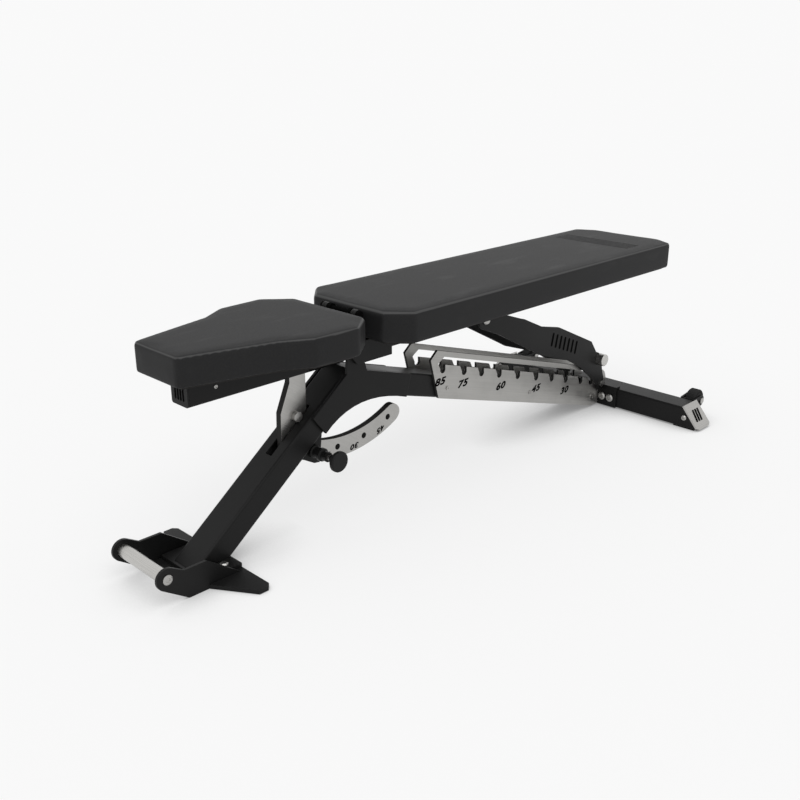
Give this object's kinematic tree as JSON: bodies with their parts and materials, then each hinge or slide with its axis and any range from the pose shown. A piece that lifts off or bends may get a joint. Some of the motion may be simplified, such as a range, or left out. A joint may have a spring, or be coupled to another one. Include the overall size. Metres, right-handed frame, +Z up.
{
  "type": "adjustable weight bench",
  "caption": "Adjustable training bench with separate seat and back pads on a shared hinge, a notched ladder under the back, a sector lock under the seat, a carrying handle and transport wheels.",
  "frame": {"origin": "on the floor under the centre of the bench's bounding box", "axes": "+X from the seat's nose to the head end, +Y to the left of someone who looks from the seat towards the head end, +Z up"},
  "size_m": [1.5205, 0.67, 0.434],
  "materials": {
    "black_paint": "satin black powder coat",
    "stainless": "brushed stainless steel",
    "vinyl": "matte fine-grained vinyl",
    "board": "black-stained plywood",
    "rubber": "matte",
    "plastic": "matte black"
  },
  "bodies": {
    "frame": {"foot_plate": "black_paint", "foot_cheek_left": "black_paint", "foot_cheek_right": "black_paint", "foot_handle": "stainless", "handle_screw_left": "stainless", "handle_screw_right": "stainless", "leg_flange": "black_paint", "leg_flange_bolt_left": "stainless", "leg_flange_bolt_right": "stainless", "leg_tube": "black_paint", "beam_tube": "black_paint", "gusset_left": "black_paint", "gusset_right": "black_paint", "hinge_axle": "black_paint", "hinge_nut": "black_paint", "ladder_plate_left": "stainless", "ladder_plate_right": "stainless", "ladder_bolt_front": "stainless", "ladder_bolt_middle": "stainless", "ladder_bolt_rear": "stainless", "rear_saddle": "black_paint", "saddle_bolt_inner_left": "stainless", "saddle_bolt_inner_right": "stainless", "saddle_bolt_outer_left": "stainless", "saddle_bolt_outer_right": "stainless", "cross_tube": "black_paint", "end_plate_left": "stainless", "end_plate_right": "stainless", "end_plate_bolt_left": "stainless", "end_plate_bolt_right": "stainless", "rubber_foot_left": "rubber", "rubber_foot_right": "rubber", "wheel_bracket_left": "black_paint", "wheel_bracket_right": "black_paint", "wheel_axle_left": "stainless", "wheel_axle_right": "stainless", "pin_bracket": "black_paint", "pin_barrel": "black_paint"},
    "seat": {"seat_pad": "vinyl", "seat_board": "board", "seat_tube": "black_paint", "seat_tube_cap": "plastic", "seat_hinge_bracket": "black_paint", "sector_plate": "stainless", "sector_rest_pin": "stainless"},
    "pull_pin": {"pop_pin": "stainless", "pop_pin_knob": "plastic"},
    "backrest": {"back_pad": "vinyl", "back_board": "board", "back_tube": "black_paint", "back_hinge_bracket": "black_paint", "strut_pivot_bracket": "black_paint", "strut_pivot_bolt": "stainless"},
    "strut": {"strut_plate_left": "black_paint", "strut_plate_right": "black_paint", "strut_handle_bar": "stainless", "lock_pin_left": "stainless", "lock_pin_right": "stainless"},
    "wheel_left_body": {"wheel_left": "rubber"},
    "wheel_right_body": {"wheel_right": "rubber"}
  },
  "joints": [
    {"name": "backrest_hinge", "type": "hinge", "parent": "frame", "child": "backrest", "pos_m": [-0.2645, 0, 0.4205], "axis": [0, -1, 0], "range_deg": [0, 85]},
    {"name": "seat_hinge", "type": "hinge", "parent": "frame", "child": "seat", "pos_m": [-0.2645, 0, 0.4205], "axis": [0, 1, 0], "range_deg": [0, 45]},
    {"name": "strut_pivot", "type": "hinge", "parent": "backrest", "child": "strut", "pos_m": [0.1126, 0, 0.336], "axis": [0, 1, 0], "range_deg": [0, 132]},
    {"name": "pull_pin_slide", "type": "slide", "parent": "frame", "child": "pull_pin", "axis": [0, -1, 0], "range_m": [0, 0.01], "stiffness_N_per_m": 400, "springref_m": -0.005},
    {"name": "wheel_left_spin", "type": "hinge", "parent": "frame", "child": "wheel_left_body", "pos_m": [0.716, 0.265, 0.046], "axis": [0, 1, 0], "continuous": true},
    {"name": "wheel_right_spin", "type": "hinge", "parent": "frame", "child": "wheel_right_body", "pos_m": [0.716, -0.265, 0.046], "axis": [0, 1, 0], "continuous": true}
  ],
  "couplings": [
    {"joint": "strut_pivot", "follows": "backrest_hinge", "ratio": 1.5513}
  ]
}
